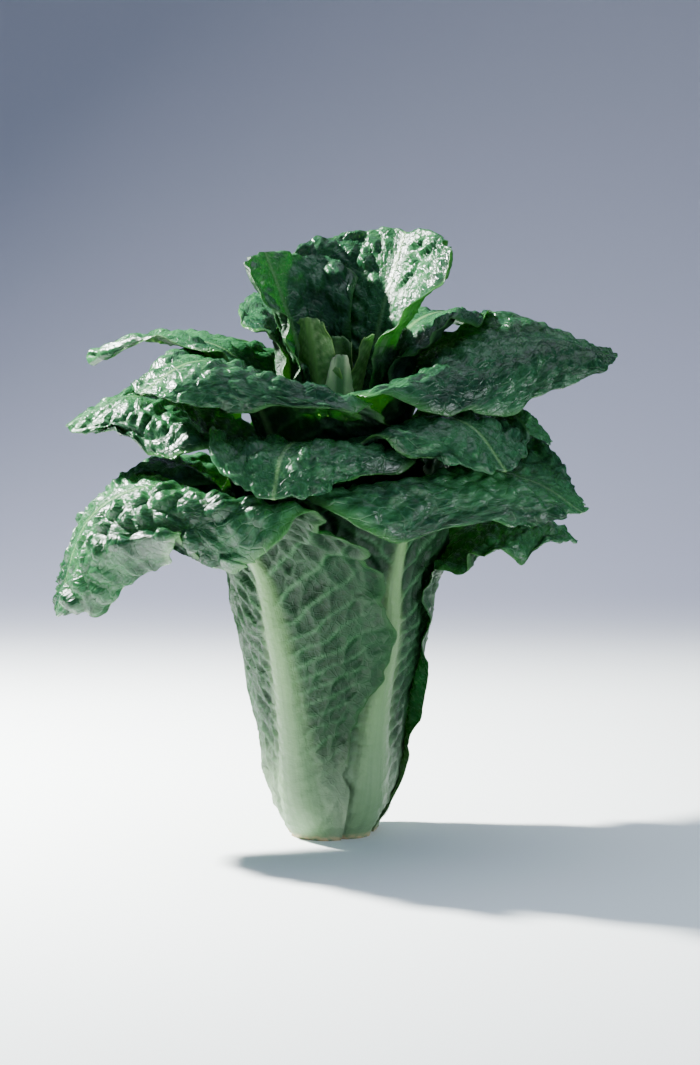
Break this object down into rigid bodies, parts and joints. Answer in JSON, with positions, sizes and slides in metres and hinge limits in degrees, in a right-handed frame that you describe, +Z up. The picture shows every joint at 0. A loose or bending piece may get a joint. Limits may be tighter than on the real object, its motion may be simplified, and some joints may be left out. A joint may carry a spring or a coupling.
{
  "type": "romaine lettuce head",
  "caption": "Head of romaine lettuce standing on its trimmed butt, with wrapped pale ribs below and broad dark ruffled leaves spreading at the top.",
  "frame": {"origin": "centre of the cut face on the underside of the trimmed butt", "axes": "+Z up along the head's axis, -Y towards the side with the two bare ribs (the picture's front), +X to that side's right"},
  "size_m": [0.3034, 0.2481, 0.329],
  "materials": {
    "leaf_green": "crisp waxy leaf, dark green",
    "leaf_pale": "crisp young leaf, pale yellow-green",
    "stem_white": "wet cut stem, greenish white"
  },
  "bodies": {
    "root": {"stem": "stem_white", "heart": "leaf_pale", "leaf_01_front_left": "leaf_green", "leaf_02_right": "leaf_green", "leaf_03_front_right": "leaf_green", "leaf_04_left": "leaf_green", "leaf_05_back": "leaf_green", "leaf_06_far_left": "leaf_green", "leaf_07_far_right": "leaf_green", "leaf_08_front": "leaf_green", "leaf_09_front_right": "leaf_green", "leaf_10_upper_left": "leaf_green", "leaf_11_upper_right": "leaf_green", "leaf_12_back_left": "leaf_green", "leaf_13_back_right": "leaf_green", "leaf_14_upper_back": "leaf_green", "leaf_15_top_right": "leaf_green", "leaf_16_top_left": "leaf_green"}
  },
  "joints": []
}
